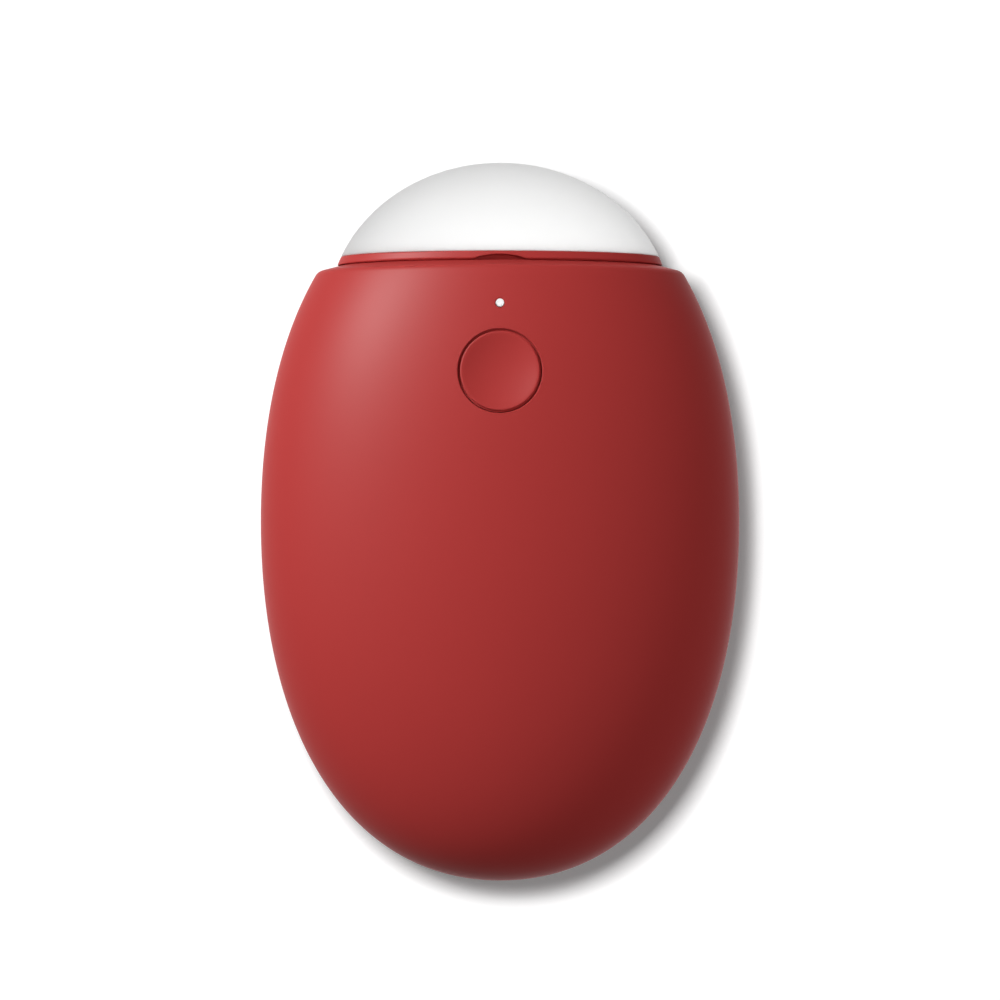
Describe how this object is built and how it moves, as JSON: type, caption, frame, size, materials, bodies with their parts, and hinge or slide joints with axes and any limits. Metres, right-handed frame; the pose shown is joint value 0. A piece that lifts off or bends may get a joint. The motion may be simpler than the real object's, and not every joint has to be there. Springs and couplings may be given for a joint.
{
  "type": "rechargeable hand warmer",
  "caption": "Egg-shaped rechargeable hand warmer with a dished push button, an indicator dot and a lift-off milky lamp cap over its charging socket.",
  "frame": {"origin": "centre of the flat on the back of the case, on the surface that it lies on", "axes": "+X across the case to the right as the button is seen, +Y along the case towards the lamp cap, +Z out of the button face"},
  "size_m": [0.07, 0.105, 0.0395],
  "materials": {
    "case_red": "soft-touch satin",
    "button_red": "satin",
    "milky": "translucent satin",
    "deck_white": "fine moulded grain",
    "clear_plastic": "polished",
    "pipe_clear": "polished, diffusing tip",
    "silicone": "matt",
    "foam": "matt",
    "board_white": "white solder mask",
    "board_green": "green solder mask",
    "led_phosphor": "gloss",
    "led_white": "gloss",
    "screw_steel": "zinc plated",
    "socket_steel": "nickel plated",
    "socket_black": "moulded",
    "contact_gilt": "gilt",
    "switch_black": "moulded",
    "plunger_grey": "moulded",
    "inductor_grey": "pressed ferrite",
    "chip_black": "moulded epoxy",
    "capacitor_tan": "fired ceramic",
    "cell_foil": "laminated foil",
    "frame_black": "moulded",
    "spreader_aluminium": "rolled sheet",
    "film_amber": "polyimide film",
    "cutoff_white": "ceramic case",
    "sensor_black": "dipped epoxy",
    "lead_red": "insulated wire",
    "lead_black": "insulated wire",
    "lead_white": "insulated wire"
  },
  "bodies": {
    "case": {"front_shell": "case_red", "rear_shell": "case_red", "port_deck": "deck_white", "cap_grip_band": "silicone", "lamp_lenses": "clear_plastic", "lamp_board": "board_white", "lamp_leds": "led_phosphor", "lamp_board_screws": "screw_steel", "main_board": "board_green", "usb_shell": "socket_steel", "usb_tongue": "socket_black", "usb_contacts": "contact_gilt", "switch_body": "switch_black", "indicator_led": "led_white", "power_inductor": "inductor_grey", "control_chips": "chip_black", "board_capacitors": "capacitor_tan", "light_pipe": "pipe_clear", "battery_cell": "cell_foil", "protection_board": "board_green", "battery_pads": "foam", "inner_frame": "frame_black", "frame_screws": "screw_steel", "board_screws": "screw_steel", "front_spreader": "spreader_aluminium", "rear_spreader": "spreader_aluminium", "front_heating_film": "film_amber", "rear_heating_film": "film_amber", "thermal_cutoff": "cutoff_white", "thermistor": "sensor_black", "battery_lead_red": "lead_red", "battery_lead_black": "lead_black", "front_heater_leads": "lead_white", "rear_heater_leads": "lead_white", "lamp_leads": "lead_white", "thermistor_leads": "lead_black"},
    "button": {"power_button": "button_red", "switch_plunger": "plunger_grey"},
    "cap": {"lamp_dome": "milky", "cap_collar": "case_red"}
  },
  "joints": [
    {"name": "button_press", "type": "slide", "parent": "case", "child": "button", "axis": [0, 0, -1], "range_m": [0, 0.0005], "stiffness_N_per_m": 800, "springref_m": -0.0005},
    {"name": "cap_pull", "type": "slide", "parent": "case", "child": "cap", "axis": [0, 1, 0], "range_m": [0, 0.03]}
  ]
}
